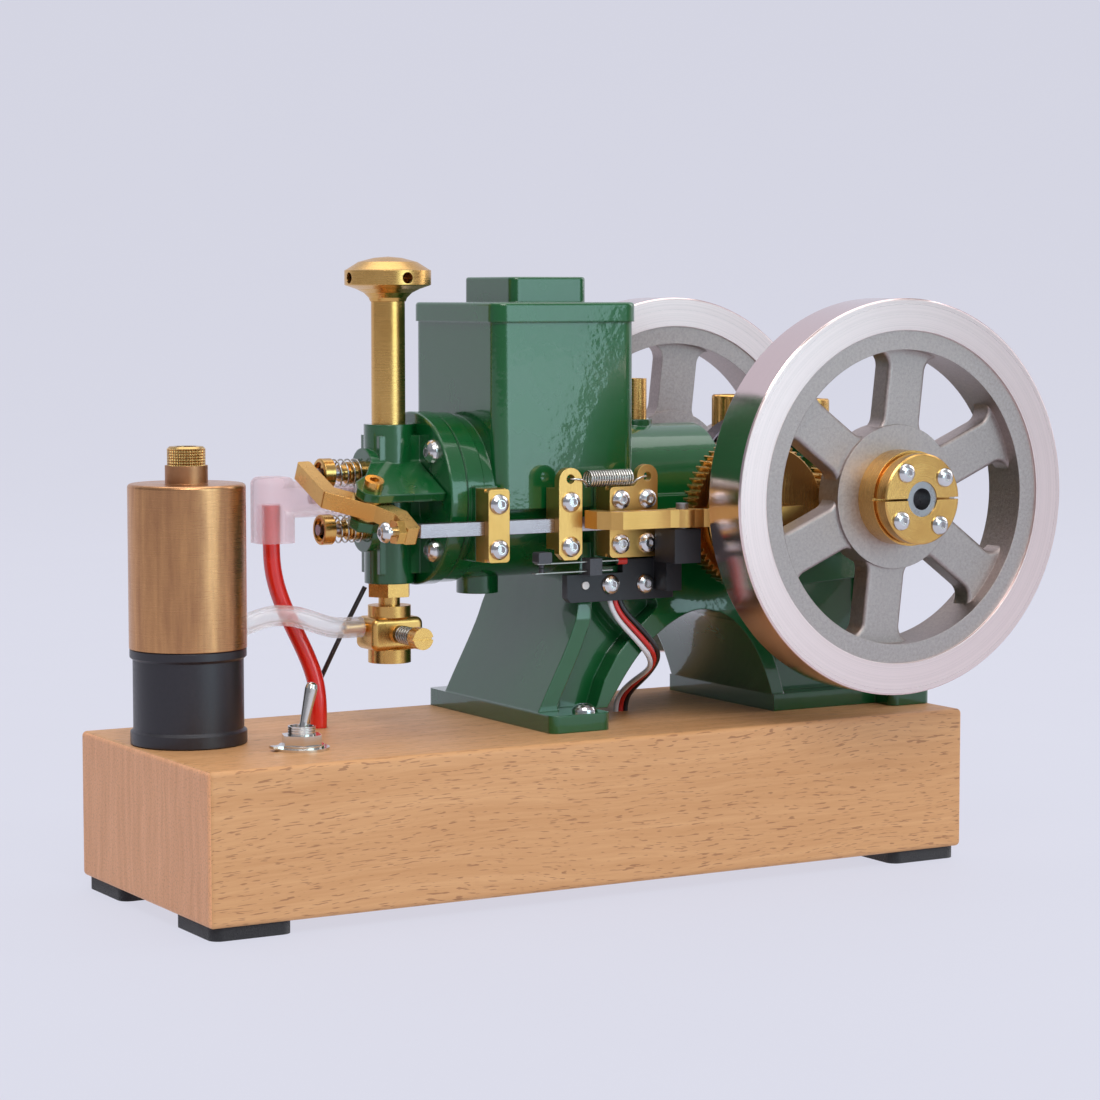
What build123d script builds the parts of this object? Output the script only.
from build123d import *
import os
import math

# Model horizontal hit-and-miss petrol engine on a wooden base.
# Millimetres. +Z is up, +X runs along the base from the fuel tank to the flywheels, +Y is
# the back. The origin is on the table, below the middle of the whole model. Parts are drawn
# with x = 0 at the base centre and moved to that origin when written; y = 0 is the vertical
# centre plane of the engine, or the base centre line for the parts written with on_base.

os.makedirs("parts", exist_ok=True)

# ------------------------------------------------------------------ driving dimensions
BASE_LENGTH, BASE_WIDTH, BASE_HEIGHT = 193.2, 70.6, 32.7
PAD_HEIGHT = 2.8                     # felt pads under the base
BASE_TOP = PAD_HEIGHT + BASE_HEIGHT
ENGINE_Y = 6.1                       # engine plane, behind the base centre
MIDDLE_X = 8.85                      # middle of the model, from the base centre
SIDES = (-1, 1)                      # front, back
CLEARANCE = 0.05                     # radial running clearance

CRANK_X, CRANK_Z = 69.3, 87.1        # crankshaft axis; the cylinder axis is as high
CRANK_THROW = 10.0
ROD_LENGTH = 65.0                    # between the connecting rod centres
SHAFT_R = 4.0
BEARING_R = 6.0
BORE_R = 9.0
LINER_R = 11.5
JACKET_R = 19.3
FLYWHEEL_R = 45.0
RIM_INNER_Y, RIM_OUTER_Y = 42.15, 54.73
HUB_SEAT_R = 7.0

GEAR_MODULE = 0.5
GEAR_BACKLASH = 0.08
CAM_TEETH, PINION_TEETH = 68, 34
GEAR_BACK_Y, GEAR_FRONT_Y = -27.7, -32.2
GEAR_WIDTH = GEAR_BACK_Y - GEAR_FRONT_Y
CAM_Z = 83.05
CAM_X = CRANK_X - math.sqrt(((CAM_TEETH + PINION_TEETH) * GEAR_MODULE / 2) ** 2
                            - (CRANK_Z - CAM_Z) ** 2)
AXLE_R = 2.5

HEAD_FACE_X, GASKET_X, FRAME_FACE_X = -28.3, -24.2, -23.8   # outer face, joint, casting face
EXHAUST_Z, INTAKE_Z = 93.3, 80.8     # valve axes
STACK_X = -33.8                      # line of the exhaust stack and the carburettor
PLUG_Y = 9.3                         # spark plug, at the height of the cylinder axis
PUSH_Y, PUSH_Z = -23.2, 81.6         # push rod centre line
PUSH_HALF = 1.5                      # half of its square section
PUSH_Y0, PUSH_Y1 = PUSH_Y - PUSH_HALF, PUSH_Y + PUSH_HALF
PUSH_Z0, PUSH_Z1 = PUSH_Z - PUSH_HALF, PUSH_Z + PUSH_HALF

LEG_Y = 22.0                         # half width of the frame legs
FOOT_TOP = 39.5
HOPPER_X0, HOPPER_X1, HOPPER_Y, HOPPER_TOP = -17.0, 19.4, 20.0, 131.2
LID_Z = HOPPER_TOP - 4.4             # underside of the hopper lid band
NECK_X0, NECK_X1, NECK_Y = -8.4, 11.4, 11.6
OILER_X, OILER_SEAT_Z = 31.0, 103.8  # oiler on the cylinder barrel

SWITCH_X, SWITCH_Y = -66.0, -15.2    # from the base centre
TANK_X = -83.0                       # the tank stands on the engine plane
WIRE_X, WIRE_Y = -48.2, 7.2          # ignition wire where it enters the base

# screw places
FOOT_SCREWS = [(x, y) for x in (2.3, 90.5) for y in (-25.2, 25.2)]               # x, y
HEAD_SCREWS = [(15.5 * math.cos(math.radians(a)), CRANK_Z + 15.5 * math.sin(math.radians(a)))
               for a in (45, 135, 225, 315)]                                     # y, z
HUB_SCREWS = [(CRANK_X + 7.6 * math.cos(math.radians(38 + 90 * k)),
               CRANK_Z + 7.6 * math.sin(math.radians(38 + 90 * k))) for k in range(4)]  # x, z
GUIDE_SCREWS = [(-20.3, 87.0), (-20.3, 77.0),
                (11.0, 87.0), (18.0, 87.0), (11.0, 77.0), (18.0, 77.0)]          # x, z
BRACKET_SCREWS = [(10.2, 67.6), (19.4, 67.4)]                                    # x, z
CATCH_SCREWS = [(-2.1, 86.9), (-2.1, 76.9)]                                      # x, z
SMALL_SHANK_R, SMALL_HOLE_R = 1.25, 1.27
CAP_HOLE_R = 1.02
HEAD_HOLE_R = 1.55


# ------------------------------------------------------------------ helpers
def box(x0, x1, y0, y1, z0, z1):
    middle = Pos((x0 + x1) / 2, (y0 + y1) / 2, (z0 + z1) / 2)
    return middle * Box(abs(x1 - x0), abs(y1 - y0), abs(z1 - z0))


def cyl_x(radius, x0, x1, y, z):
    return Pos((x0 + x1) / 2, y, z) * Rot(0, 90, 0) * Cylinder(radius, abs(x1 - x0))


def cyl_y(radius, y0, y1, x, z):
    return Pos(x, (y0 + y1) / 2, z) * Rot(90, 0, 0) * Cylinder(radius, abs(y1 - y0))


def cyl_z(radius, z0, z1, x, y):
    return Pos(x, y, (z0 + z1) / 2) * Cylinder(radius, abs(z1 - z0))


def drill(part, cylinder, radius, start, end, places):
    """Cut one hole at each place, with cyl_x, cyl_y or cyl_z as the cylinder."""
    for place in places:
        part = part - cylinder(radius, start, end, *place)
    return part


def polygon(points):
    return make_face(Polyline(*points, close=True))


def turned(points):
    """Solid turned about Z from an (r, z) outline."""
    return revolve(Plane.XZ * polygon(points), Axis.Z)


def prism_y(points, y0, y1):
    """Closed (x, z) outline extruded between y0 and y1."""
    solid = extrude(polygon(points), amount=abs(y1 - y0))
    return Pos(0, max(y0, y1), 0) * Rot(90, 0, 0) * solid


def hex_bar(half_flats, length):
    return extrude(RegularPolygon(half_flats, 6, major_radius=False), amount=length)


def shrink_to_fit(operation, part, size, which, factors):
    edges = part.edges() if which is None else part.edges().filter_by(which)
    for factor in factors:
        # Guards against edges too short for the size: the next smaller one is tried.
        try:
            result = operation(edges, size * factor)
            if result.volume > 0:
                return result
        except Exception:
            continue
    return part


def fillet_edges(part, radius, which=None):
    return shrink_to_fit(fillet, part, radius, which, (1.0, 0.7, 0.45, 0.25))


def chamfer_edges(part, size, which):
    return shrink_to_fit(chamfer, part, size, which, (1.0, 0.6, 0.3))


def rounded_box(radius, axis, *limits):
    """Box with its edges along one axis rounded."""
    return fillet_edges(box(*limits), radius, axis)


def largest(part):
    """Drop loose slivers left by the booleans."""
    solids = part.solids()
    return max(solids, key=lambda solid: solid.volume) if len(solids) > 1 else part


def button_screw(head_r, head_h, shank_r, length, socket_flats):
    """Button head socket screw: seat on z = 0, head above, shank below."""
    head = turned([(0, 0), (head_r, 0), (head_r * 0.98, head_h * 0.3),
                   (head_r * 0.86, head_h * 0.62), (head_r * 0.62, head_h * 0.9),
                   (head_r * 0.45, head_h), (0, head_h)])
    shank = Pos(0, 0, -length / 2) * Cylinder(shank_r, length)
    hexagon = RegularPolygon(socket_flats / math.sqrt(3), 6)
    socket = Pos(0, 0, head_h - head_h * 0.55) * extrude(hexagon, amount=head_h)
    return (head + shank) - socket


def aim(shape, place, direction):
    """Place a shape built along +Z so that it points along the direction."""
    return Plane(origin=place, z_dir=direction) * shape


def small_screws(places, seat_y, length):
    """Small screws driven in from the front at (x, z) places."""
    return [aim(button_screw(2.3, 1.4, SMALL_SHANK_R, length, 1.5), (x, seat_y, z), (0, -1, 0))
            for x, z in places]


def swept(path, radius):
    return sweep(Plane(origin=path @ 0, z_dir=path % 0) * Circle(radius), path=path)


def wire(points, radius):
    return swept(Spline(*points), radius)


def coil(radius, wire_r, pitch, height):
    """Round wire coil about +Z, starting at z = 0."""
    helix = Helix(pitch=pitch, height=height, radius=radius)
    section = Plane(origin=helix @ 0, z_dir=helix % 0) * Circle(wire_r)
    return sweep(section, path=helix, is_frenet=True)


def spur_gear(teeth, phase):
    """Involute gear, 20 degree pressure angle, about +Z from z = 0."""
    pressure = math.radians(20)
    pitch_r = teeth * GEAR_MODULE / 2
    base_r = pitch_r * math.cos(pressure)
    tip_r, root_r = pitch_r + GEAR_MODULE, pitch_r - 1.25 * GEAR_MODULE

    def involute(angle):
        return math.tan(angle) - angle

    half_tooth = math.pi / (2 * teeth) - GEAR_BACKLASH / (2 * pitch_r) + involute(pressure)
    flank = []                       # radius, half angle of the tooth there
    for r in (max(root_r, base_r), pitch_r * 0.997, (pitch_r + tip_r) / 2, tip_r):
        flank.append((r, half_tooth - involute(math.acos(min(1, base_r / r)))))
    if root_r < base_r - 1e-6:
        flank.insert(0, (root_r, flank[0][1] + 0.002))
    points = []
    for i in range(teeth):
        middle = 2 * math.pi * i / teeth + phase
        for r, half in flank:
            points.append((r * math.cos(middle - half), r * math.sin(middle - half)))
        for r, half in reversed(flank):
            points.append((r * math.cos(middle + half), r * math.sin(middle + half)))
    return extrude(polygon(points), amount=GEAR_WIDTH)


def group(items):
    return Compound(children=[item.solids()[0] if len(item.solids()) == 1 else item
                              for item in items])


def put(name, shape, on_base=False):
    """Move a part to the model origin and write it."""
    export_step(Pos(-MIDDLE_X, -ENGINE_Y if on_base else 0, 0) * shape, f"parts/{name}.step")


# ------------------------------------------------------------------ wooden base, pads
def wooden_base():
    half_l, half_w = BASE_LENGTH / 2, BASE_WIDTH / 2
    base = fillet_edges(box(-half_l, half_l, -half_w, half_w, PAD_HEIGHT, BASE_TOP), 1.1)
    holes = [(3.0, 14, SWITCH_X, SWITCH_Y)]                  # radius, depth, x, y
    holes += [(SMALL_HOLE_R, 9, x, y + ENGINE_Y) for x, y in FOOT_SCREWS]
    holes += [(2.15, 8, WIRE_X, WIRE_Y + ENGINE_Y), (1.62, 6, TANK_X, ENGINE_Y)]
    for radius, depth, x, y in holes:
        base = base - cyl_z(radius, BASE_TOP - depth, BASE_TOP + 1, x, y)
    return base


def base_pads():
    length, width, inset = 18.5, 20.0, 0.9
    pad = rounded_box(2.5, Axis.Z, 0, length, 0, width, 0, PAD_HEIGHT)
    half_l, half_w = BASE_LENGTH / 2 - inset, BASE_WIDTH / 2 - inset
    return group([Pos(x, y, 0) * pad
                  for x in (-half_l, half_l - length) for y in (-half_w, half_w - width)])


put("wooden_base", wooden_base(), on_base=True)
put("base_pads", base_pads(), on_base=True)

# ------------------------------------------------------------------ engine frame casting
# side outline of the two legs, (x, z)
STAND_TANK_EDGE = [(-7.8, 39.4), (-6.2, 42.6), (-3.6, 47.6), (-0.8, 53.0), (1.6, 58.4),
                   (3.3, 64.0), (4.2, 70.0)]
STAND_TOP = [(4.2, 70.0), (5.5, 77.0), (20.0, 77.0), (20.0, CRANK_Z), (88.6, CRANK_Z),
             (88.6, 68.0)]
STAND_CRANK_EDGE = [(88.6, 68.0), (89.2, 60.0), (90.6, 53.0), (92.6, 46.5), (95.6, 40.6)]
STAND_ARCH = [(55.6, 39.4), (54.4, 43.0), (51.4, 49.6), (48.0, 54.4), (43.7, 58.2),
              (39.5, 60.0), (34.5, 60.4), (29.5, 58.9), (24.0, 55.6), (19.2, 51.4),
              (15.4, 46.8), (12.4, 42.4), (10.4, 39.4)]
# one side of the cross section, (y, z)
STAND_HALF_SECTION = [(LEG_Y, 35), (LEG_Y, 60), (19.6, 71), (19.0, 78), (21.0, 83.6),
                      (21.0, 90)]
# recessed panels of the legs, (x, z)
LEG_PANELS = [
    [(-3.6, 39.0), (-0.6, 45.0), (3.0, 52.2), (5.8, 59.0), (7.0, 65.0), (21.5, 66.5),
     (24.5, 62.0), (18.6, 57.2), (13.0, 51.2), (9.6, 45.6), (7.3, 39.0)],
    [(59.0, 39.0), (57.6, 44.0), (54.6, 52.0), (49.5, 58.6), (46.5, 63.5), (84.0, 66.0),
     (85.2, 58.0), (87.6, 49.0), (91.0, 42.5), (91.6, 39.0)]]
# hollows under the legs, (x, z)
LEG_HOLLOWS = [
    [(-2.2, 35.0), (-2.2, 42), (3.4, 54), (7.2, 62), (18, 62), (16.6, 55.8), (9.0, 45.5),
     (5.6, 40), (5.6, 35.0)],
    [(60.5, 35.0), (60.5, 42), (56.5, 52), (53, 60), (84, 61), (86.5, 52), (90.5, 43),
     (90.5, 35.0)]]


def cap_screw_places(side):
    """(x, y) of the two screws of a bearing cap."""
    return [(CRANK_X + dx, side * 16.6) for dx in (-10.6, 10.6)]


def stand():
    """Legs with panelled faces, their walls leaning in towards the top."""
    outline = [Spline(*STAND_TANK_EDGE), Polyline(*STAND_TOP), Spline(*STAND_CRANK_EDGE),
               Line((95.6, 40.6), (95.6, 39.4)), Line((95.6, 39.4), (55.6, 39.4)),
               Spline(*STAND_ARCH), Line((10.4, 39.4), (-7.8, 39.4))]
    legs = extrude(make_face(outline), amount=2 * LEG_Y)
    legs = Pos(0, LEG_Y, 0) * Rot(90, 0, 0) * legs
    section = [(-y, z) for y, z in STAND_HALF_SECTION] + STAND_HALF_SECTION[::-1]
    legs = legs & (Pos(-15, 0, 0) * extrude(Plane.YZ * polygon(section), amount=120))
    legs = fillet_edges(legs, 1.6, lambda edge: edge.length > 20 and edge.center().Z < 66
                        and abs(edge.center().Y) > 20.5)
    for panel in LEG_PANELS:
        for side in SIDES:
            cutter = prism_y(panel, side * 17.2, side * 26.0)
            legs = legs - fillet_edges(cutter, 1.6, Axis.Y)
    return legs


def add_feet(frame):
    """Foot plates, rounded lugs for the hold-down screws, hollows underneath."""
    for x0, x1 in ((-8.5, 7.0), (55.6, 96.3)):
        frame = frame + box(x0, x1, -LEG_Y - 0.8, LEG_Y + 0.8, BASE_TOP, FOOT_TOP)
    for x0, x1 in ((-8.5, 7.0), (84.8, 96.3)):
        frame = frame + rounded_box(2.0, Axis.Z, x0, x1, -29.6, 29.6, BASE_TOP, FOOT_TOP)
    for hollow in LEG_HOLLOWS:
        frame = frame - prism_y(hollow, -13.5, 13.5)
    return frame


def add_hopper(frame):
    """Water hopper with a lid band and a raised filler neck, hollow inside."""
    hopper = rounded_box(3.2, Axis.Z, HOPPER_X0, HOPPER_X1, -HOPPER_Y, HOPPER_Y,
                         CRANK_Z - 2.0, LID_Z)
    lid = rounded_box(3.6, Axis.Z, HOPPER_X0 - 0.5, HOPPER_X1 + 0.5,
                      -HOPPER_Y - 0.5, HOPPER_Y + 0.5, LID_Z, HOPPER_TOP)
    lid = fillet_edges(lid, 0.8, lambda edge: edge.center().Z > HOPPER_TOP - 0.1)
    neck = rounded_box(2.0, Axis.Z, NECK_X0, NECK_X1, -NECK_Y, NECK_Y,
                       HOPPER_TOP - 0.5, 136.9)
    neck = fillet_edges(neck, 0.6, lambda edge: edge.center().Z > 136.8)
    frame = frame + hopper + lid + neck
    wall, neck_wall = 3.4, 2.4
    frame = frame - rounded_box(2.0, Axis.Z, HOPPER_X0 + wall, HOPPER_X1 - wall,
                                -HOPPER_Y + wall, HOPPER_Y - wall, 103.6, HOPPER_TOP - 3.0)
    return frame - rounded_box(1.2, Axis.Z, NECK_X0 + neck_wall, NECK_X1 - neck_wall,
                               -NECK_Y + neck_wall, NECK_Y - neck_wall, HOPPER_TOP - 6, 140)


def add_bosses(frame):
    frame = frame + cyl_z(4.8, 65.0, 72.0, -11.2, 0)                    # drain
    frame = frame + cyl_z(4.2, 99.0, OILER_SEAT_Z, OILER_X, 0)          # oiler
    frame = frame + box(-23.0, -17.5, -20.8, -12.0, 74.0, 90.6)         # push rod guides
    frame = frame + box(7.6, 21.2, -20.8, -12.0, 73.4, 90.4)
    frame = frame + box(6.4, 24.6, -21.3, -14.0, 63.6, 71.6)            # contact bracket
    return frame + cyl_y(6.2, -21.9, -13.0, CAM_X, CAM_Z)               # cam axle


def cut_bores(frame):
    frame = frame - cyl_x(LINER_R, FRAME_FACE_X - 0.2, 25.5, 0, CRANK_Z)
    frame = frame - cyl_x(13.2, 25.5, 47.0, 0, CRANK_Z)
    frame = frame - box(46.4, 86.8, -12.2, 12.2, 67.2, 90.0)            # crank pit
    frame = frame - cyl_y(BEARING_R, -23, 23, CRANK_X, CRANK_Z)
    frame = frame - cyl_y(AXLE_R, -23, -13.0, CAM_X, CAM_Z)
    frame = frame - cyl_z(1.5, 97, 105, OILER_X, 0)
    frame = drill(frame, cyl_x, 1.52, FRAME_FACE_X - 0.2, FRAME_FACE_X + 3.4, HEAD_SCREWS)
    frame = drill(frame, cyl_z, 1.3, 35, 42, FOOT_SCREWS)
    frame = drill(frame, cyl_y, SMALL_HOLE_R, -21.5, -16.4, GUIDE_SCREWS)
    frame = drill(frame, cyl_y, SMALL_HOLE_R, -22, -16.0, BRACKET_SCREWS)
    for side in SIDES:
        frame = drill(frame, cyl_z, CAP_HOLE_R, 81.0, 88, cap_screw_places(side))
    return frame


def engine_frame():
    frame = add_feet(stand())
    jacket = (cyl_x(JACKET_R, FRAME_FACE_X, -19.6, 0, CRANK_Z)
              + cyl_x(18.6, -19.6, 19.4, 0, CRANK_Z) + cyl_x(15.6, 19.4, 46.5, 0, CRANK_Z))
    frame = add_hopper(frame + jacket)
    return largest(cut_bores(add_bosses(frame)))


put("engine_frame", engine_frame())


# ------------------------------------------------------------------ liner, gasket, head
def cylinder_liner():
    return (cyl_x(LINER_R, FRAME_FACE_X, 25.5, 0, CRANK_Z)
            - cyl_x(BORE_R, FRAME_FACE_X - 1, 26.5, 0, CRANK_Z))


def head_gasket():
    x0, x1 = GASKET_X - 1, FRAME_FACE_X + 1
    gasket = cyl_x(JACKET_R, GASKET_X, FRAME_FACE_X, 0, CRANK_Z) - cyl_x(9.7, x0, x1, 0, CRANK_Z)
    return drill(gasket, cyl_x, HEAD_HOLE_R, x0, x1, HEAD_SCREWS)


# The rocker swings in a plane tilted down from the exhaust valve axis to the push rod.
# Outlines in it are (x, reach), reach being the distance from the exhaust valve axis.
TILT = math.atan2(EXHAUST_Z - PUSH_Z, -PUSH_Y)
ROCKER_PLANE = Plane(origin=(0, 0, EXHAUST_Z), x_dir=(1, 0, 0),
                     z_dir=(0, -math.sin(TILT), math.cos(TILT)))
PIVOT_X, PIVOT_REACH, PIVOT_R = -45.1, 14.0, 1.3
EAR_EYE = [(-45.1, 17.6), (-48.0, 16.6), (-48.9, 14.0), (-48.0, 11.2), (-44.4, 8.6),
           (-40.0, 2.0)]             # end shared by both rocker ears
UPPER_EAR = [(-28.6, 2.0), (-28.6, 17.4)] + EAR_EYE
LOWER_EAR = [(-36.0, 2.0), (-36.0, 12.0), (-41.2, 16.6)] + EAR_EYE
EAR_RIB = [(-40.4, 0.5), (-36.2, 0.5), (-36.2, 9.5), (-40.4, 7.0)]


def tilted_plate(points, low, high):
    """(x, reach) outline between two heights above the rocker plane."""
    face = polygon([(x, -reach) for x, reach in points])
    return ROCKER_PLANE * (Pos(0, 0, low) * extrude(face, amount=high - low))


def pivot_cyl(radius, low, high):
    """Cylinder on the rocker pivot axis."""
    middle = Pos(PIVOT_X, -PIVOT_REACH, (low + high) / 2)
    return ROCKER_PLANE * (middle * Cylinder(radius, high - low))


def cylinder_head():
    head = cyl_x(19.6, HEAD_FACE_X, GASKET_X, 0, CRANK_Z)
    head = fillet_edges(head, 0.5, lambda edge: edge.center().X < HEAD_FACE_X + 0.1)
    head = head + cyl_z(5.6, 68.3, 104.0, STACK_X, 0)
    for z in (EXHAUST_Z, INTAKE_Z):
        head = head + cyl_x(5.4, -40.5, HEAD_FACE_X + 1, 0, z)
    head = head + box(-38.4, HEAD_FACE_X + 1, -4.6, 4.6, 70.5, 101.5)
    upper_ear = tilted_plate(UPPER_EAR, 2.3, 4.3)
    lower_ear = tilted_plate(LOWER_EAR, -5.4, -3.1)
    head = head + upper_ear + lower_ear + tilted_plate(EAR_RIB, -5.4, 4.3)
    # room for the springs, then the guides and the stems
    head = head - cyl_x(4.3, -52.0, -40.5, 0, EXHAUST_Z) - cyl_x(4.6, -52.0, -40.5, 0, INTAKE_Z)
    for radius, x0, x1 in ((2.5, -41.0, -33.0), (1.35, -34.0, -24.0)):
        for z in (EXHAUST_Z, INTAKE_Z):
            head = head - cyl_x(radius, x0, x1, 0, z)
    head = head - cyl_x(9.6, -27.6, -24.0, 0, CRANK_Z)
    # exhaust and intake ports, then the seats of the stack and the carburettor nut
    for z in (EXHAUST_Z, INTAKE_Z):
        head = head - cyl_x(2.4, -31.6, -27.5, 0, z)
    head = head - cyl_z(2.4, EXHAUST_Z - 0.5, 105.0, STACK_X + 1.5, 0)
    head = head - cyl_z(2.4, 67.0, INTAKE_Z + 0.5, STACK_X + 1.5, 0)
    head = head - cyl_z(3.8, 99.4, 105.0, STACK_X, 0) - cyl_z(3.6, 67.0, 71.4, STACK_X, 0)
    head = head - pivot_cyl(PIVOT_R, -7.0, 6.0)
    for y, z in HEAD_SCREWS:
        head = head - cyl_x(HEAD_HOLE_R, HEAD_FACE_X - 3, GASKET_X + 1, y, z)
        head = head - cyl_x(3.0, HEAD_FACE_X - 12, HEAD_FACE_X, y, z)
    # spark plug seat on the flange, behind the valve bosses
    head = head + cyl_x(4.4, -33.0, HEAD_FACE_X + 1, PLUG_Y, CRANK_Z)
    head = head - cyl_x(2.5, -34.0, -27.0, PLUG_Y, CRANK_Z)
    return largest(head)


def casting_screws():
    """Button head screws of the feet and the cylinder head."""
    foot = [Pos(x, y, FOOT_TOP) * button_screw(2.75, 1.7, SMALL_SHANK_R, 12.0, 2.0)
            for x, y in FOOT_SCREWS]
    head = [aim(button_screw(2.75, 1.9, 1.5, 7.2, 2.0), (HEAD_FACE_X, y, z), (-1, 0, 0))
            for y, z in HEAD_SCREWS]
    return group(foot + head)


put("cylinder_liner", cylinder_liner())
put("head_gasket", head_gasket())
put("cylinder_head", cylinder_head())
put("casting_screws", casting_screws())

# ------------------------------------------------------------------ valves
EXHAUST_LIFT = 1.85                  # the exhaust valve stands open
VALVE_HEAD = [(-28.6, 0), (-28.6, 1.2), (-27.5, 2.3), (-26.9, 3.1), (-26.2, 3.1),
              (-26.2, 0)]            # x, radius


def valve_guide(z):
    guide = cyl_x(2.5, -44.4, -33.0, 0, z) - cyl_x(1.25, -46, -30, 0, z)
    return guide + (cyl_x(1.9, -46.4, -44.4, 0, z) - cyl_x(1.25, -47, -44, 0, z))


def valve(z, lift):
    stem = cyl_x(1.2, -51.6, -26.8 + lift, 0, z)
    stem = stem - (cyl_x(1.6, -50.5, -49.95, 0, z) - cyl_x(0.85, -51, -49, 0, z))
    return stem + Pos(lift, 0, z) * revolve(polygon(VALVE_HEAD), Axis.X)


def retainer(z):
    """Spring retainer and its clip."""
    cup = (cyl_x(3.4, -51.2, -48.5, 0, z) - cyl_x(2.6, -51.4, -50.45, 0, z)
           - cyl_x(1.22, -52, -48, 0, z))
    cup = chamfer_edges(cup, 0.25, lambda edge: edge.center().X < -51.1 and edge.length > 20)
    clip = cyl_x(2.1, -50.45, -50.0, 0, z) - cyl_x(0.87, -51, -49, 0, z)
    return group([cup, clip - box(-51, -49, -0.6, 0.6, z, z + 3)])


put("valve_guides", group([valve_guide(EXHAUST_Z), valve_guide(INTAKE_Z)]))
for side_name, valve_z, valve_lift in (("exhaust", EXHAUST_Z, EXHAUST_LIFT),
                                       ("intake", INTAKE_Z, 0.0)):
    put(f"{side_name}_valve", valve(valve_z, valve_lift))
    put(f"{side_name}_retainer", retainer(valve_z))
    put(f"{side_name}_spring",
        Pos(-48.25, 0, valve_z) * Rot(0, 90, 0) * coil(3.0, 0.2, pitch=1.66, height=7.4))

# ------------------------------------------------------------------ exhaust stack
STACK_TOP = 131.4
CAP_OUTLINE = [(0, STACK_TOP), (4.0, STACK_TOP), (4.3, 132.2), (5.4, 133.3), (7.2, 134.2),
               (9.3, 134.9), (9.7, 135.1), (9.7, 138.3), (9.3, 138.5), (6.6, 140.2),
               (3.2, 141.1), (0, 141.4)]     # r, z


def stack_cap():
    cap = turned(CAP_OUTLINE) - cyl_z(2.9, 131.0, 137.8, 0, 0)
    for k in range(4):
        cap = cap - Rot(0, 0, 90 * k) * cyl_x(1.25, 0, 11, 0, 136.6)
    return Pos(STACK_X, 0, 0) * cap


put("exhaust_stack", cyl_z(3.8, 99.4, STACK_TOP, STACK_X, 0) - cyl_z(2.9, 99.0, 132.0, STACK_X, 0))
put("stack_cap", stack_cap())

# ------------------------------------------------------------------ rocker, pivot, tappet
ROCKER_LINE = [(-54.5, -2.2), (-53.6, 10.4), (-44.4, 16.8), (-41.0, 21.4),
               (-41.0, 28.2)]        # centre line, (x, reach)


def strip(points, half_width):
    """Outline of a constant width strip along a line, with mitred corners."""
    left, right = [], []
    for i, (x, y) in enumerate(points):
        normals = []
        for start, end in zip(points[max(i - 1, 0):i + 1], points[max(i - 1, 0) + 1:i + 2]):
            dx, dy = end[0] - start[0], end[1] - start[1]
            normals.append((-dy / math.hypot(dx, dy), dx / math.hypot(dx, dy)))
        sum_x, sum_y = sum(n[0] for n in normals), sum(n[1] for n in normals)
        length = math.hypot(sum_x, sum_y)
        mitre_x, mitre_y = sum_x / length, sum_y / length
        along = mitre_x * normals[0][0] + mitre_y * normals[0][1]
        offset = half_width / max(0.4, along)
        left.append((x + mitre_x * offset, y + mitre_y * offset))
        right.append((x - mitre_x * offset, y - mitre_y * offset))
    return left + right[::-1]


def rocker_arm():
    rocker = tilted_plate(strip(ROCKER_LINE, 1.65), -2.0, 2.0)
    rocker = rocker + pivot_cyl(3.3, -2.15, 2.15)
    rocker = fillet_edges(rocker, 0.7, lambda edge: 3.9 < edge.length < 4.4
                          and edge.geom_type == GeomType.LINE)
    rocker = rocker - pivot_cyl(PIVOT_R + CLEARANCE, -5, 5)
    rocker = rocker - cyl_x(1.1, -46, -36, PUSH_Y, PUSH_Z)
    # domed pad that bears on the exhaust valve stem
    dome = Pos(-52.95, 0, EXHAUST_Z) * Sphere(1.25)
    return rocker + (dome & box(-53.2, -51.7, -2, 2, EXHAUST_Z - 2, EXHAUST_Z + 2))


def rocker_pivot_screw():
    screw = pivot_cyl(PIVOT_R, -6.6, 4.3) + pivot_cyl(2.15, 4.3, 6.3)
    socket = extrude(RegularPolygon(1.15, 6), amount=2.0)
    screw = screw - ROCKER_PLANE * (Pos(PIVOT_X, -PIVOT_REACH, 5.2) * socket)
    return group([screw, pivot_cyl(2.9, -3.1, -2.2) - pivot_cyl(PIVOT_R, -4, -1)])


def tappet_screw():
    """Adjusting screw in line with the push rod, and its lock nut."""
    screw = cyl_x(1.1, -46.4, -39.45, PUSH_Y, PUSH_Z) + Pos(-39.45, PUSH_Y, PUSH_Z) * Sphere(0.45)
    head = button_screw(2.35, 1.6, 1.1, 0.4, 1.5)
    screw = screw + aim(head, (-46.4, PUSH_Y, PUSH_Z), (-1, 0, 0))
    seat = Plane(origin=(-44.55, PUSH_Y, PUSH_Z), x_dir=(0, 1, 0), z_dir=(1, 0, 0))
    nut = seat * hex_bar(2.5, 1.85) - cyl_x(1.1, -46, -41, PUSH_Y, PUSH_Z)
    return group([screw, nut])


put("rocker_arm", rocker_arm())
put("rocker_pivot_screw", rocker_pivot_screw())
put("tappet_screw", tappet_screw())

# ------------------------------------------------------------------ bearings, oilers
CUP_Y = 16.9                         # oil cups, either side of the engine plane
CAP_SEAT_Z = CRANK_Z + 3.9           # top of the cap flanges


def main_bearing(side):
    return (cyl_y(BEARING_R, side * 12.2, side * 22.0, CRANK_X, CRANK_Z)
            - cyl_y(SHAFT_R + CLEARANCE, side * 12, side * 23, CRANK_X, CRANK_Z))


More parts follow.
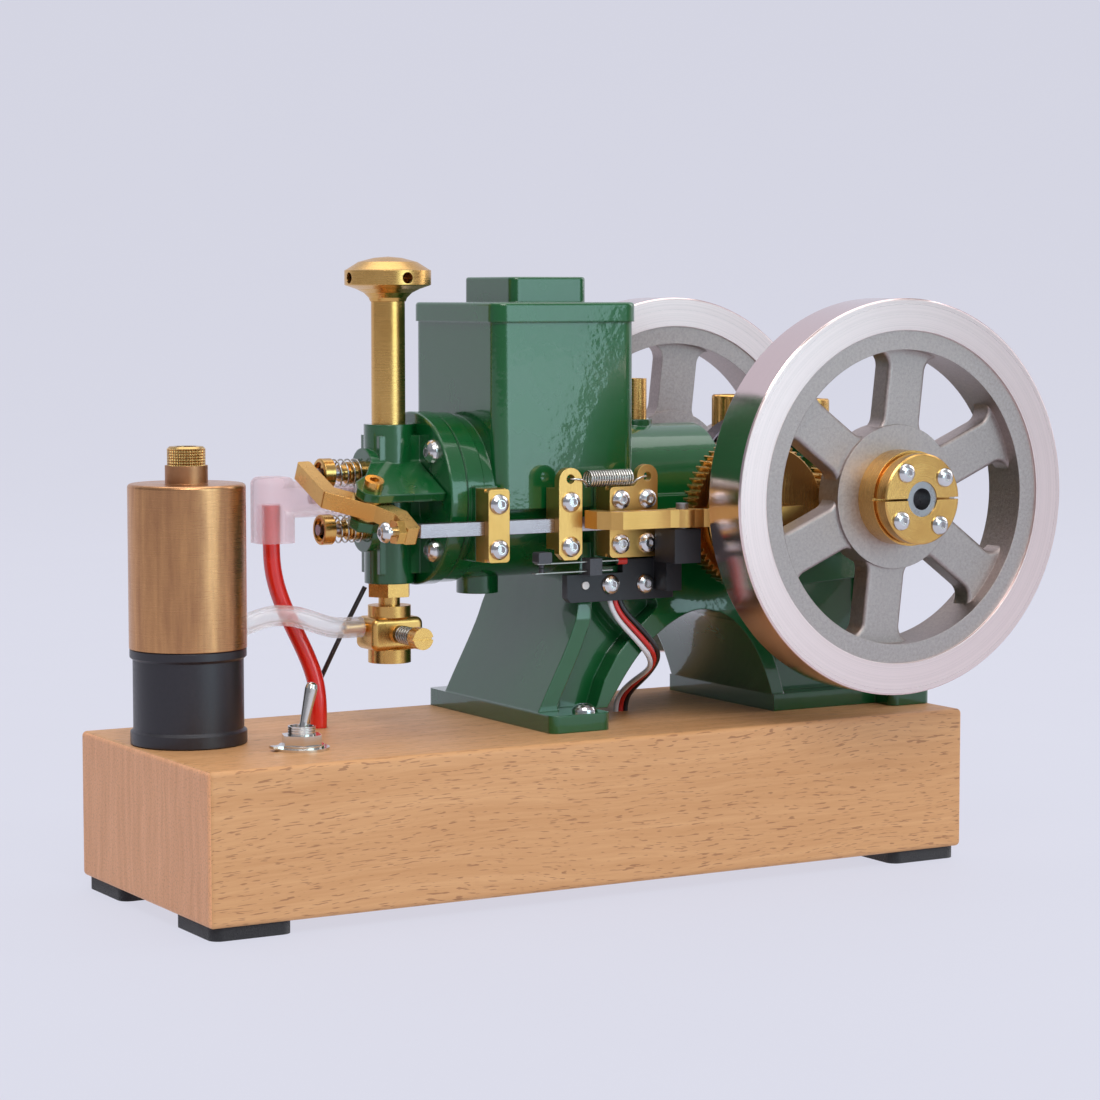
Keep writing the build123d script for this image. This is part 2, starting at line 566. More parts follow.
def bearing_cap(side):
    y0, y1, cup_y = side * 12.4, side * 21.4, side * CUP_Y
    cap = cyl_y(9.4, y0, y1, CRANK_X, CRANK_Z)
    cap = cap + box(CRANK_X - 13.8, CRANK_X + 13.8, y0, y1, CRANK_Z, CAP_SEAT_Z)
    cap = cap + cyl_z(4.2, 94.0, 98.6, CRANK_X, cup_y)
    cap = cap & box(CRANK_X - 20, CRANK_X + 20, side * 10, side * 30, CRANK_Z, CRANK_Z + 30)
    cap = fillet_edges(cap, 1.5, lambda edge: abs(abs(edge.center().X - CRANK_X) - 13.8) < 0.05
                       and edge.length < 4)
    cap = cap - cyl_y(BEARING_R, side * 10, side * 24, CRANK_X, CRANK_Z)
    cap = cap - cyl_z(1.6, 92.0, 101.0, CRANK_X, cup_y)
    return drill(cap, cyl_z, CAP_HOLE_R, CRANK_Z - 1, CRANK_Z + 5, cap_screw_places(side))


def oil_cup(side):
    """Knurled cup on a bearing cap."""
    y = side * CUP_Y
    cup = (cyl_z(4.6, 100.2, 108.4, CRANK_X, y) + cyl_z(2.6, 98.6, 100.2, CRANK_X, y)
           + cyl_z(1.6, 93.3, 98.6, CRANK_X, y))
    cup = cup - cyl_z(2.7, 102.4, 109.0, CRANK_X, y) - cyl_z(0.6, 93, 103, CRANK_X, y)
    cup = chamfer_edges(cup, 0.35, lambda edge: edge.center().Z > 108.3 and edge.length > 20)
    for k in range(26):
        angle = 2 * math.pi * k / 26
        cup = cup - cyl_z(0.24, 100.9, 107.5, CRANK_X + 4.65 * math.cos(angle),
                          y + 4.65 * math.sin(angle))
    return cup


def barrel_oiler():
    body = cyl_z(1.5, 99.9, OILER_SEAT_Z, OILER_X, 0) + cyl_z(2.9, OILER_SEAT_Z, 113.3, OILER_X, 0)
    return body - cyl_z(1.9, 106.0, 114, OILER_X, 0) - cyl_z(0.6, 99, 107, OILER_X, 0)


put("main_bearings", group([main_bearing(side) for side in SIDES]))
put("bearing_caps", group([bearing_cap(side) for side in SIDES]))
put("oil_cups", group([oil_cup(side) for side in SIDES] + [barrel_oiler()]))

# ------------------------------------------------------------------ crankshaft, flywheels
PIN_Z = CRANK_Z + CRANK_THROW        # the crank pin stands above the crankshaft
PIN_R = 3.0
SPOKE_LEAN = 6.5                     # spoke angle off vertical
HUB_FACE_Y, HUB_END_Y = 51.6, 61.3
WEB_FACE_Y = 50.8


def crankshaft():
    crank = cyl_y(PIN_R, -5.6, 5.6, CRANK_X, PIN_Z)
    for side in SIDES:
        disc = cyl_y(16.6, side * 5.6, side * 11.2, CRANK_X, CRANK_Z)
        disc = chamfer_edges(disc, 0.3, GeomType.CIRCLE)
        crank = crank + disc + cyl_y(SHAFT_R, side * 11.0, side * 61.0, CRANK_X, CRANK_Z)
        crank = crank - cyl_y(2.45, side * 54.0, side * 62.0, CRANK_X, CRANK_Z)
    return crank


def flywheel():
    """Rear wheel, its outer face towards +Y."""
    def disc(radius, y0, y1):
        return cyl_y(radius, y0, y1, CRANK_X, CRANK_Z)

    rim = disc(FLYWHEEL_R, RIM_INNER_Y, RIM_OUTER_Y) - disc(33.4, RIM_INNER_Y - 1, RIM_OUTER_Y + 1)
    rim = chamfer_edges(rim, 0.4, lambda edge: edge.geom_type == GeomType.CIRCLE
                        and edge.length > 270)
    # shallow steps around the inside of both rim faces
    outer_step = (disc(37.8, RIM_OUTER_Y - 0.6, RIM_OUTER_Y + 1)
                  - disc(30.0, RIM_OUTER_Y - 1, RIM_OUTER_Y + 2))
    inner_step = (disc(37.8, RIM_INNER_Y - 1, RIM_INNER_Y + 0.6)
                  - disc(30.0, RIM_INNER_Y - 2, RIM_INNER_Y + 1))
    rim = rim - outer_step - inner_step
    windows = Circle(33.6) - Circle(16.2)
    for k in range(3):
        windows = windows - Rot(0, 0, 90 - SPOKE_LEAN + 60 * k) * Rectangle(80, 10.2)
    web = disc(33.9, 45.4, WEB_FACE_Y)
    for face in windows.faces():
        window = extrude(Sketch() + face.fillet_2d(3.4, face.vertices()), amount=14)
        web = web - Pos(CRANK_X, 55.0, CRANK_Z) * Rot(90, 0, 0) * window
    web = fillet_edges(web, 0.9, lambda edge: abs(abs(edge.center().Y) - WEB_FACE_Y) < 0.02
                       and math.hypot(edge.center().X - CRANK_X,
                                      edge.center().Z - CRANK_Z) < 33.0)
    wheel = rim + web + disc(16.4, 44.2, HUB_FACE_Y)
    return wheel - disc(HUB_SEAT_R, 40, 56)


def hub(side):
    def disc(radius, y0, y1):
        return cyl_y(radius, side * y0, side * y1, CRANK_X, CRANK_Z)

    body = disc(10.25, 57.9, HUB_END_Y) + disc(9.9, 57.3, 57.9) + disc(10.8, HUB_FACE_Y, 57.3)
    body = chamfer_edges(body, 0.35, lambda edge: edge.length > 50
                         and abs(abs(edge.center().Y) - HUB_END_Y) < 0.01)
    body = body + disc(HUB_SEAT_R, 44.2, HUB_FACE_Y) - disc(SHAFT_R, 40, 62)
    for x0, x1 in ((-12, -3), (3, 12)):      # slit across the end
        body = body - box(CRANK_X + x0, CRANK_X + x1, side * 57.0, side * 62,
                          CRANK_Z - 0.25, CRANK_Z + 0.25)
    return drill(body, cyl_y, 1.26, side * 53, side * 62, HUB_SCREWS)


def hub_screws():
    return group([aim(button_screw(2.2, 1.3, 1.25, 8.0, 1.5), (x, side * HUB_END_Y, z),
                      (0, side, 0)) for side in SIDES for x, z in HUB_SCREWS])


put("crankshaft", crankshaft())
rear_wheel = flywheel()
put("flywheel_rear", rear_wheel)
put("flywheel_front", mirror(rear_wheel, about=Plane.XZ))
put("flywheel_hubs", group([hub(side) for side in SIDES]))
put("hub_screws", hub_screws())

# ------------------------------------------------------------------ timing gears
MESH_ANGLE = math.atan2(CRANK_Z - CAM_Z, CRANK_X - CAM_X)   # cam axle to crankshaft


def crank_pinion():
    """Pinion with its collar and set screw."""
    phase = MESH_ANGLE + math.pi + math.pi / PINION_TEETH
    pinion = (Pos(CRANK_X, GEAR_BACK_Y, CRANK_Z) * Rot(90, 0, 0)
              * spur_gear(PINION_TEETH, phase))
    pinion = pinion + cyl_y(6.0, -22.1, GEAR_BACK_Y, CRANK_X, CRANK_Z)
    pinion = pinion - cyl_y(SHAFT_R, -22, -33, CRANK_X, CRANK_Z)
    across = Plane(origin=(CRANK_X, -25.1, CRANK_Z), z_dir=(-0.62, 0.0, 0.785))
    pinion = pinion - across * (Pos(0, 0, 6) * Cylinder(1.0, 8.0))
    socket = Pos(0, 0, 5.0) * extrude(RegularPolygon(0.55, 6), amount=1.0)
    return group([pinion, across * (Pos(0, 0, 4.62) * Cylinder(0.98, 1.1) - socket)])


def cam_gear():
    """Cam gear and the two pins of the governor weights."""
    gear = Pos(CAM_X, GEAR_BACK_Y, CAM_Z) * Rot(90, 0, 0) * spur_gear(CAM_TEETH, MESH_ANGLE)
    gear = gear + cyl_y(5.0, GEAR_FRONT_Y, -34.4, CAM_X, CAM_Z)
    gear = gear - cyl_y(AXLE_R + CLEARANCE, -20, -40, CAM_X, CAM_Z)
    places = [(CAM_X + side * WEIGHT_PIN_R, CAM_Z) for side in SIDES]
    gear = drill(gear, cyl_y, 1.0, -28.5, -33, places)
    return group([gear] + [cyl_y(1.0, -28.5, -34.5, x, z) for x, z in places])


WEIGHT_PIN_R = 11.5                  # weight pins, from the cam axle
put("crank_pinion", crank_pinion())
put("cam_gear", cam_gear())

# ------------------------------------------------------------------ piston, connecting rod
WRIST_X = CRANK_X - math.sqrt(ROD_LENGTH ** 2 - CRANK_THROW ** 2)
ROD_ANGLE = math.degrees(math.asin(CRANK_THROW / ROD_LENGTH))
WRIST_R = 2.5
CROWN_X = WRIST_X - 15.0
RING_GROOVES = (CROWN_X + 2.2, CROWN_X + 5.0)


def piston():
    body = cyl_x(BORE_R - CLEARANCE, CROWN_X, WRIST_X + 11.0, 0, CRANK_Z)
    body = body - cyl_x(7.0, CROWN_X + 4.5, WRIST_X + 12, 0, CRANK_Z)
    for side in SIDES:
        boss = cyl_y(4.2, side * 4.3, side * 8.4, WRIST_X, CRANK_Z)
        body = body + (boss & cyl_x(7.6, WRIST_X - 6, WRIST_X + 6, 0, CRANK_Z))
    body = body - cyl_y(WRIST_R, -12, 12, WRIST_X, CRANK_Z)
    for x in RING_GROOVES:
        body = body - (cyl_x(BORE_R + 1, x, x + 1.2, 0, CRANK_Z)
                       - cyl_x(7.9, x - 0.1, x + 1.3, 0, CRANK_Z))
    return body


def piston_ring(x):
    ring = cyl_x(BORE_R - 0.02, x + 0.03, x + 1.17, 0, CRANK_Z) - cyl_x(8.0, x - 1, x + 2, 0, CRANK_Z)
    return ring - box(x - 1, x + 2, -0.25, 0.25, CRANK_Z + 7, CRANK_Z + 10)


def rod_small_end():
    """Eye and forked shank, with a panel in each side of the shank."""
    shank = box(0, 50.0, -4.0, 4.0, -2.8, 2.8) - box(30.0, 51.0, -2.0, 2.0, -4, 4)
    shank = shank - box(8.0, 27.0, -5, -2.6, -1.7, 1.7) - box(8.0, 27.0, 2.6, 5, -1.7, 1.7)
    rod = cyl_y(4.4, -4, 4, 0, 0) + shank - cyl_y(WRIST_R + CLEARANCE, -6, 6, 0, 0)
    return Pos(WRIST_X, 0, CRANK_Z) * Rot(0, -ROD_ANGLE, 0) * rod


def rod_big_end():
    rod = cyl_y(5.4, -1.8, 1.8, 0, 0) + box(-20.0, 0, -1.8, 1.8, -2.6, 2.6)
    rod = rod - cyl_y(PIN_R + CLEARANCE, -3, 3, 0, 0)
    return Pos(CRANK_X, 0, PIN_Z) * Rot(0, -ROD_ANGLE, 0) * rod


put("piston", piston())
put("piston_rings", group([piston_ring(x) for x in RING_GROOVES]))
put("wrist_pin", cyl_y(WRIST_R, -8.4, 8.4, WRIST_X, CRANK_Z) - cyl_y(1.4, -9, 9, WRIST_X, CRANK_Z))
put("rod_small_end", rod_small_end())
put("rod_big_end", rod_big_end())

# ------------------------------------------------------------------ exhaust cam, governor
ROLLER_X = CAM_X - math.sqrt(9.6 ** 2 - (CAM_Z - PUSH_Z) ** 2)   # 9.6 from the cam axle
CAM_BASE_R, CAM_LIFT, CAM_HALF_ANGLE = 4.94, 1.6, math.radians(50)


def exhaust_cam():
    """Cam and its sleeve; the lobe points away from the roller."""
    points = []
    for i in range(144):
        angle = 2 * math.pi * i / 144
        off = abs((angle + math.pi) % (2 * math.pi) - math.pi)
        r = CAM_BASE_R
        if off < CAM_HALF_ANGLE:
            r += CAM_LIFT * 0.5 * (1 + math.cos(math.pi * off / CAM_HALF_ANGLE))
        points.append((r * math.cos(angle), r * math.sin(angle)))
    lobe_angle = math.degrees(math.atan2(PUSH_Z - CAM_Z, ROLLER_X - CAM_X)) + 180.0
    cam = Rot(0, 0, lobe_angle) * extrude(polygon(points), amount=2.8)
    cam = Pos(CAM_X, -22.6, CAM_Z) * Rot(90, 0, 0) * cam
    return (cam + cyl_y(4.4, -22.0, GEAR_BACK_Y, CAM_X, CAM_Z)
            - cyl_y(AXLE_R + CLEARANCE, -20, -30, CAM_X, CAM_Z))


def governor_weight(turn):
    """Kidney shaped fly weight hung on one pin, turned about the cam axle."""
    angles = [math.radians(-8 + 128 * k / 22) for k in range(23)]
    outer = [(13.6 * math.cos(a), 13.6 * math.sin(a)) for a in angles]
    inner = [(6.4 * math.cos(a), 6.4 * math.sin(a)) for a in angles]
    weight = extrude(polygon(outer + inner[::-1]), amount=2.1)
    weight = weight - Pos(WEIGHT_PIN_R, 0, 0) * Cylinder(1.05, 8)
    return Pos(CAM_X, GEAR_FRONT_Y - 0.1, CAM_Z) * Rot(90, 0, 0) * (Rot(0, 0, turn) * weight)


def governor_disc():
    disc = (cyl_y(15.6, -35.0, -36.2, CAM_X, CAM_Z) + cyl_y(3.4, -34.7, -37.1, CAM_X, CAM_Z)
            + cyl_y(1.4, -37.0, -37.4, CAM_X, CAM_Z))
    disc = disc - cyl_y(AXLE_R + 2 * CLEARANCE, -30, -36.7, CAM_X, CAM_Z)
    disc = chamfer_edges(disc, 0.2, lambda edge: edge.geom_type == GeomType.CIRCLE
                         and edge.length > 90)
    return disc - cyl_y(0.9, -30, -40, CAM_X + 7.6, CAM_Z - 1.6)


put("cam_axle", cyl_y(AXLE_R, -13.2, -36.4, CAM_X, CAM_Z))
put("exhaust_cam", exhaust_cam())
put("governor_weight_a", governor_weight(0))
put("governor_weight_b", governor_weight(180))
put("governor_disc", governor_disc())

# ------------------------------------------------------------------ push rod, guides, catch
SPLIT_Y = -24.75                     # joint between guide blocks and their cover plates
COVER_Y = -26.6                      # front of the cover plates
FORK_Y0, FORK_Y1 = -26.6, -21.4


def push_rod():
    """Square rod with a fork for the cam roller."""
    rod = box(-38.9, 31.0, PUSH_Y0, PUSH_Y1, PUSH_Z0, PUSH_Z1)
    rod = chamfer_edges(rod, 0.25, lambda edge: abs(edge.center().X + 38.9) < 0.01)
    rod = rod + box(28.4, 31.4, FORK_Y0, FORK_Y1, PUSH_Z0, PUSH_Z1)
    for y0, y1 in ((FORK_Y0, -25.5), (-22.5, FORK_Y1)):
        cheek = box(31.4, ROLLER_X, y0, y1, PUSH_Z0, PUSH_Z1)
        rod = rod + (cheek + cyl_y(1.5, y0, y1, ROLLER_X, PUSH_Z))
    return rod - cyl_y(1.0, -28, -20, ROLLER_X, PUSH_Z)


def cam_roller():
    roller = (cyl_y(3.0, -25.4, -22.6, ROLLER_X, PUSH_Z)
              - cyl_y(1.0 + CLEARANCE, -27, -21, ROLLER_X, PUSH_Z))
    return group([roller, cyl_y(1.0, FORK_Y0, FORK_Y1, ROLLER_X, PUSH_Z)])


def rod_guides():
    """Two slotted blocks around the push rod, each with a cover plate."""
    slot = (SPLIT_Y - 1, PUSH_Y1 + CLEARANCE, PUSH_Z0 - CLEARANCE, PUSH_Z1 + CLEARANCE)
    head_block = box(-22.9, -17.6, SPLIT_Y, -20.8, 74.1, 90.3) - box(-24, -16, *slot)
    cam_block = box(8.2, 20.8, SPLIT_Y, -20.8, 74.1, 89.9)
    cam_block = cam_block - box(7, 22, *slot) - box(19.95, 21.5, -21.05, -20.7, 82, 91)
    head_cover = rounded_box(0.9, Axis.Y, -22.9, -17.6, COVER_Y, SPLIT_Y, 74.1, 90.3)
    cam_cover = rounded_box(1.1, Axis.Y, 8.2, 20.8, COVER_Y, SPLIT_Y, 73.9, 89.9)
    # raised lug for the return spring, with a hollow corner beside it
    cam_cover = (cam_cover + box(15.4, 20.8, COVER_Y, SPLIT_Y, 85.0, 92.0)
                 + cyl_y(2.7, COVER_Y, SPLIT_Y, 18.1, 92.0))
    corner = box(14.0, 15.5, COVER_Y, SPLIT_Y, 89.8, 91.3) - cyl_y(1.4, -27, -24, 14.0, 91.3)
    cam_cover = cam_cover + corner - cyl_y(1.05, -28, -24, 18.1, 92.0)
    return group([drill(part, cyl_y, SMALL_HOLE_R, -30, -20, GUIDE_SCREWS)
                  for part in (head_block, cam_block, head_cover, cam_cover)])


def all_small_screws():
    """Screws of the bearing caps, rod guides and contact bracket."""
    caps = [Pos(x, y, CAP_SEAT_Z) * button_screw(1.9, 1.2, 1.0, 9.4, 1.3)
            for side in SIDES for x, y in cap_screw_places(side)]
    return group(caps + small_screws(GUIDE_SCREWS, COVER_Y, 9.4)
                 + small_screws(BRACKET_SCREWS, -23.5, 6.4))


def catch_clamp():
    """Saddle and plate clamped on the push rod, with their screws."""
    face_y = -26.8
    saddle = (box(-5.1, 0.9, SPLIT_Y, -21.1, 76.3, 89.9)
              - box(-6, 2, SPLIT_Y - 1, PUSH_Y1, PUSH_Z0, PUSH_Z1))
    plate = box(-5.1, 0.9, face_y, SPLIT_Y, 73.9, 91.5) + cyl_y(3.0, face_y, SPLIT_Y, -2.1, 91.5)
    plate = chamfer_edges(plate, 1.4, lambda edge: abs(edge.center().Z - 73.9) < 0.01
                          and edge.length < 2.5 and abs(edge.center().Y + 25.775) < 0.1)
    plate = plate - cyl_y(1.05, -28, -24, -2.1, 92.0)
    parts = [drill(part, cyl_y, SMALL_HOLE_R, -30, -21.6, CATCH_SCREWS)
             for part in (saddle, plate)]
    return group(parts + small_screws(CATCH_SCREWS, face_y, 4.8))


# hooks at the two ends of the return spring, (x, y, z)
CATCH_HOOK = [(2.75, -25.75, 90.2), (1.9, -26.9, 90.9), (0.6, -27.45, 91.7),
              (-1.2, -27.4, 92.0), (-2.05, -26.6, 92.05), (-2.1, -25.0, 92.0),
              (-2.1, -24.3, 91.95)]
GUIDE_HOOK = [(14.05, -25.7, 90.2), (14.6, -26.6, 90.9), (15.4, -27.05, 91.6),
              (17.0, -27.05, 92.0), (17.95, -26.4, 92.05), (18.1, -25.0, 92.0),
              (18.1, -24.2, 91.95)]


def return_spring():
    spring = Pos(2.7, -25.7, 91.9) * Rot(0, 90, 0) * coil(1.72, 0.24, pitch=0.66, height=11.4)
    return spring + wire(CATCH_HOOK, 0.24) + wire(GUIDE_HOOK, 0.24)


put("push_rod", push_rod())
put("cam_roller", cam_roller())
put("rod_guides", rod_guides())
put("small_screws", all_small_screws())
put("catch_clamp", catch_clamp())
put("return_spring", return_spring())

# ------------------------------------------------------------------ latch arm, contacts
LATCH_X, LATCH_Y, LATCH_PIN_R = 22.3, -34.6, 1.4
LATCH_OUTLINE = [(1.2, -27.3), (4.6, -27.3), (4.6, -31.6), (6.2, -33.2), (25.0, -33.2),
                 (26.2, -35.6), (28.2, -37.5), (51.5, -37.5), (51.5, -40.1), (29.5, -40.1),
                 (26.0, -37.9), (22.0, -37.6), (18.0, -36.6), (5.6, -36.6), (3.4, -35.2),
                 (1.2, -32.6)]       # x, y
BRACKET_OUTLINE = [(-1.1, 64.9), (-0.1, 63.9), (27.0, 63.9), (27.0, 73.2), (13.5, 73.2),
                   (13.5, 70.2), (-1.1, 70.2)]   # x, z


def latch_arm():
    arm = Pos(0, 0, 81.0) * extrude(polygon(LATCH_OUTLINE), amount=4.0)
    arm = arm + cyl_z(3.4, 81.0, 85.0, LATCH_X, LATCH_Y)
    return arm - cyl_z(LATCH_PIN_R + CLEARANCE, 80, 88, LATCH_X, LATCH_Y)


def contact_bracket():
    """Bracket that carries the contacts and the latch arm pin."""
    bracket = prism_y(BRACKET_OUTLINE, -23.5, -21.3)
    bracket = bracket + box(21.8, 25.8, -29.0, -23.4, 66.0, 79.6)
    bracket = bracket + box(18.9, 25.8, -37.0, -28.6, 72.9, 80.6)
    bracket = bracket - cyl_z(LATCH_PIN_R, 70, 82, LATCH_X, LATCH_Y)
    bracket = drill(bracket, cyl_y, SMALL_HOLE_R, -26, -20, BRACKET_SCREWS)
    bracket = bracket - cyl_y(0.9, -26, -20, 3.6, 67.7)
    return group([bracket, cyl_z(LATCH_PIN_R, 73.3, 86.3, LATCH_X, LATCH_Y)])


def contact_set():
    """Two contact blades with their points, holder, end block, sleeve and pin."""
    blade_y = (-25.8, -24.3)
    upper_z, lower_z = (73.1, 73.35), (71.0, 71.25)
    upper = box(-10.0, 11.4, *blade_y, *upper_z) + cyl_z(0.6, 72.3, 73.1, -8.6, -25.0)
    lower = box(-10.6, 9.5, *blade_y, *lower_z) + cyl_z(0.6, 71.25, 72.1, -8.6, -25.0)
    sleeve = cyl_x(0.75, 11.0, 13.4, -25.05, 72.95) - box(10.5, 11.4, *blade_y, *upper_z)
    holder = (box(2.8, 6.0, -27.0, -23.5, 70.2, 74.0) - box(2, 8, *blade_y, *upper_z)
              - box(2, 8, *blade_y, *lower_z))
    end_block = rounded_box(0.5, Axis.Y, -10.4, -7.0, -27.0, -24.0, 73.35, 75.9)
    pin = cyl_y(0.9, -23.9, -21.3, 3.6, 67.7)
    return group([upper, lower, sleeve, holder, end_block, pin])


put("latch_arm", latch_arm())
put("contact_bracket", contact_bracket())
put("contact_set", contact_set())


# ------------------------------------------------------------------ carburettor and fuel
def carburettor():
    """Carburettor body and the hexagon nut that holds it to the head."""
    nut = Pos(STACK_X, 0, 65.2) * hex_bar(4.5, 3.1) + cyl_z(3.55, 68.3, 71.3, STACK_X, 0)
    nut = nut - cyl_z(2.45, 60, 72, STACK_X, 0)
    body = cyl_z(2.45, 63.1, 71.0, STACK_X, 0) + cyl_z(4.85, 60.6, 63.2, STACK_X, 0)
    block = rounded_box(1.6, Axis.Y, STACK_X - 6.4, STACK_X + 6.4, -4.6, 4.6, 53.3, 60.7)
    block = fillet_edges(block, 1.2, Axis.Z)
    body = (body + block + cyl_z(4.85, 50.3, 53.4, STACK_X, 0)
            + cyl_x(1.3, -45.2, -40.0, 0, 58.6) + cyl_x(1.4, -44.6, -44.0, 0, 58.6))
    body = body + cyl_y(2.0, -5.4, -4.0, STACK_X, 57.0)
    body = (body - cyl_z(1.6, 49, 72, STACK_X, 0) - cyl_y(1.3, -8, 0, STACK_X, 57.0)
            - cyl_x(0.7, -48, -36, 0, 58.6))
    return group([body, nut])


def needle_valve():
    """Needle with a slotted, knurled head, and its spring."""
    z = 57.0
    needle = cyl_y(1.25, -13.4, -2.2, STACK_X, z) + cyl_y(2.45, -16.5, -13.3, STACK_X, z)
    needle = needle - box(STACK_X - 3, STACK_X + 3, -17, -15.9, z - 0.3, z + 0.3)
    for k in range(18):
        angle = 2 * math.pi * k / 18
        needle = needle - cyl_y(0.17, -16.0, -13.8, STACK_X + 2.52 * math.cos(angle),
                                z + 2.52 * math.sin(angle))
    spring = Pos(STACK_X, -13.1, z) * Rot(-90, 0, 0) * coil(1.8, 0.25, pitch=1.15, height=7.2)
    return group([needle, spring])


FUEL_LINE = [(-41.0, 0, 58.6), (-44.2, 0, 58.6), (-47.6, 0.2, 58.8), (-54.0, 3.0, 60.9),
             (-60.5, 6.6, 61.3), (-66.2, 7.5, 59.6), (-70.95, 5.62, 58.9)]   # x, y, z
OUTLET_ANGLE = math.radians(25.0)    # from +X towards +Y
TANK_FLOOR_Z, TANK_TOP_Z, NECK_TOP_Z = 56.5, 92.2, 96.1


def fuel_tube():
    path = Spline(*FUEL_LINE)
    return swept(path, 2.35) - swept(path, 1.5)


def tank_holder():
    holder = (cyl_z(12.7, 54.3, TANK_FLOOR_Z, TANK_X, 0) + cyl_z(12.05, 38.6, 54.3, TANK_X, 0)
              + cyl_z(12.7, BASE_TOP, 38.6, TANK_X, 0))
    holder = chamfer_edges(holder, 0.3, GeomType.CIRCLE)
    return holder - cyl_z(9.6, BASE_TOP - 1, 53.0, TANK_X, 0)


def fuel_tank():
    """Tank with its outlet spigot, and the filler neck."""
    tank = cyl_z(12.8, TANK_FLOOR_Z, TANK_TOP_Z, TANK_X, 0)
    tank = fillet_edges(tank, 0.8, lambda edge: edge.center().Z > TANK_TOP_Z - 0.1)
    tank = tank - cyl_z(11.9, 57.6, 91.2, TANK_X, 0) - cyl_z(3.2, 90, 93, TANK_X, 0)
    outward = (math.cos(OUTLET_ANGLE), math.sin(OUTLET_ANGLE), 0.0)
    spigot = Pos(0, 0, 0.9) * (Cylinder(1.15, 2.8) - Cylinder(0.7, 6.0))
    tank = tank + aim(spigot, (TANK_X + 12.2 * outward[0], 12.2 * outward[1], 58.9), outward)
    neck = (cyl_z(4.65, TANK_TOP_Z, NECK_TOP_Z, TANK_X, 0)
            + cyl_z(3.2, 91.2, TANK_TOP_Z, TANK_X, 0) - cyl_z(2.2, 90, 97, TANK_X, 0))
    return group([tank, neck])


def fuel_cap():
    cap = cyl_z(4.15, NECK_TOP_Z, 100.2, TANK_X, 0) + cyl_z(2.15, 92.0, NECK_TOP_Z, TANK_X, 0)
    cap = chamfer_edges(cap, 0.5, lambda edge: edge.center().Z > 100.1)
    return cap - cyl_z(2.3, 99.4, 101, TANK_X, 0)


put("carburettor", carburettor())
put("needle_valve", needle_valve())
put("fuel_tube", fuel_tube())
put("tank_holder", tank_holder())
put("fuel_tank", fuel_tank())
put("fuel_cap", fuel_cap())

# ------------------------------------------------------------------ ignition, wiring
BOOT_X = -58.6                       # upright part of the plug boot
IGNITION_PATH = [(BOOT_X, PLUG_Y, 86.0), (BOOT_X, PLUG_Y, 78.0), (-58.2, PLUG_Y, 71.5),
                 (-54.6, PLUG_Y - 0.1, 60.8), (-50.8, PLUG_Y - 1.0, 52.4),
                 (-48.6, PLUG_Y - 1.8, 45.2), (WIRE_X, WIRE_Y, 39.5), (WIRE_X, WIRE_Y, 36.5),
                 (WIRE_X, WIRE_Y, BASE_TOP - 5.0)]
HEAD_WIRE_PATH = [(-38.2, 3.4, 67.2), (-40.0, 4.6, 63.5), (-43.6, 6.0, 56.0),
                  (-46.0, 9.0, 48.0), (-46.9, 13.2, 41.6), (-46.8, 14.8, 38.4),
                  (-46.8, 15.0, BASE_TOP + 0.1)]


def spark_plug():
    seat = Plane(origin=(-36.0, PLUG_Y, CRANK_Z), x_dir=(0, 1, 0), z_dir=(1, 0, 0))
    plug = cyl_x(2.5, -33.0, -28.4, PLUG_Y, CRANK_Z) + seat * hex_bar(3.0, 3.0)
    for radius, x0, x1 in ((2.2, -45.0, -36.0), (1.2, -49.0, -45.0), (0.5, -28.4, -27.1)):
        plug = plug + cyl_x(radius, x0, x1, PLUG_Y, CRANK_Z)
    return plug


def plug_boot():
    sleeve = cyl_x(4.1, -56.0, -37.4, PLUG_Y, CRANK_Z)
    upright = rounded_box(2.6, Axis.Z, -62.6, -53.8, PLUG_Y - 4.3, PLUG_Y + 4.3, 77.6, 92.4)
    upright = fillet_edges(upright, 1.8, lambda edge: edge.center().Z > 92.3)
    boot = (sleeve + upright - cyl_x(2.2, -45.0, -37.0, PLUG_Y, CRANK_Z)
            - cyl_x(1.2, -49.0, -44, PLUG_Y, CRANK_Z))
    return boot - cyl_z(2.1, 77.0, 86.3, BOOT_X, PLUG_Y)


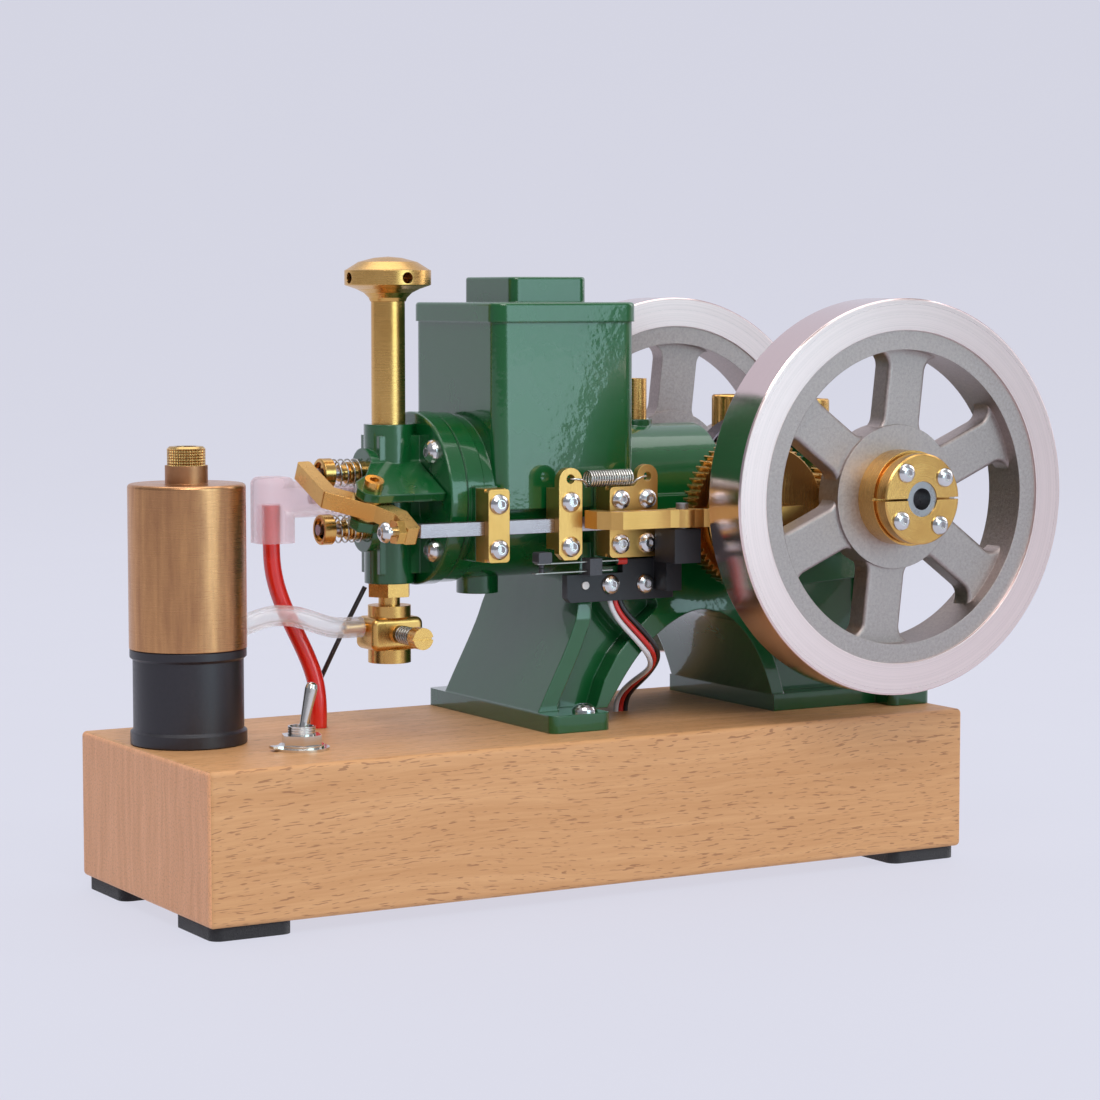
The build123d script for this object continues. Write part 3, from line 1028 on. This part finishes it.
def signal_wires():
    """Three wires side by side below the contacts, and one below the head."""
    wires = []
    for side in (-1.3, 0.0, 1.3):
        near = 0.75 * side           # the wires close up on the slanting stretch
        wires.append(wire([(12.0 + side, -22.5, 63.5), (12.5 + side, -22.9, 61.8 + near / 2),
                           (16.2 + near, -23.5, 57.4 + near), (20.6 + near, -23.5, 53.0 + near),
                           (23.6 + near, -21.4, 49.2 + near), (24.6 + side, -13.5, 44.6),
                           (24.8 + side, -6.2, 40.6), (24.8 + side, -4.4, 38.0),
                           (24.8 + side, -4.2, BASE_TOP + 0.1)], 0.55))
    return group(wires + [wire(HEAD_WIRE_PATH, 0.55)])


put("spark_plug", spark_plug())
put("plug_boot", plug_boot())
put("ignition_wire", wire(IGNITION_PATH, 1.95))
put("signal_wires", signal_wires())

# ------------------------------------------------------------------ toggle switch
SWITCH_BALL_Z = 38.4
WASHER_Z, LOCK_Z = BASE_TOP + 0.6, BASE_TOP + 1.15   # tops of the two washers
LEVER_OUTLINE = [(0, 0), (1.0, 0), (0.95, 3.0), (1.35, 9.4), (1.4, 10.4), (1.15, 11.3),
                 (0.6, 11.7), (0, 11.75)]            # r, z


def switch_body():
    """Threaded bush, two washers and a nut."""
    bush = cyl_z(3.0, BASE_TOP - 8, 40.6, 0, 0) - cyl_z(1.2, BASE_TOP - 9, 37.2, 0, 0)
    mouth = Cone(1.2, 2.6, 3.4, align=(Align.CENTER, Align.CENTER, Align.MIN))
    bush = bush - Pos(0, 0, 37.2) * mouth - Pos(0, 0, SWITCH_BALL_Z) * Sphere(1.75)
    for k in range(4):               # thread shown as ring grooves
        groove = cyl_z(3.2, 38.5 + 0.55 * k, 38.68 + 0.55 * k, 0, 0)
        bush = bush - (groove - cyl_z(2.8, 38, 41, 0, 0))
    washer = cyl_z(6.0, BASE_TOP, WASHER_Z, 0, 0) - cyl_z(3.02, 30, 40, 0, 0)
    tab_washer = (cyl_z(4.9, WASHER_Z, LOCK_Z, 0, 0)
                  + box(-7.2, -3.8, -1.1, 1.1, WASHER_Z, LOCK_Z) - cyl_z(3.02, 30, 40, 0, 0))
    nut = Pos(0, 0, LOCK_Z) * Rot(0, 0, 12) * hex_bar(4.0, 2.1) - cyl_z(3.02, 30, 45, 0, 0)
    return Pos(SWITCH_X, SWITCH_Y, 0) * group([bush, washer, tab_washer, nut])


def switch_lever():
    lever = turned(LEVER_OUTLINE) + Sphere(1.5)
    return Pos(SWITCH_X, SWITCH_Y, SWITCH_BALL_Z) * Rot(0, 12.9, 0) * lever


put("switch_body", switch_body(), on_base=True)
put("switch_lever", switch_lever(), on_base=True)
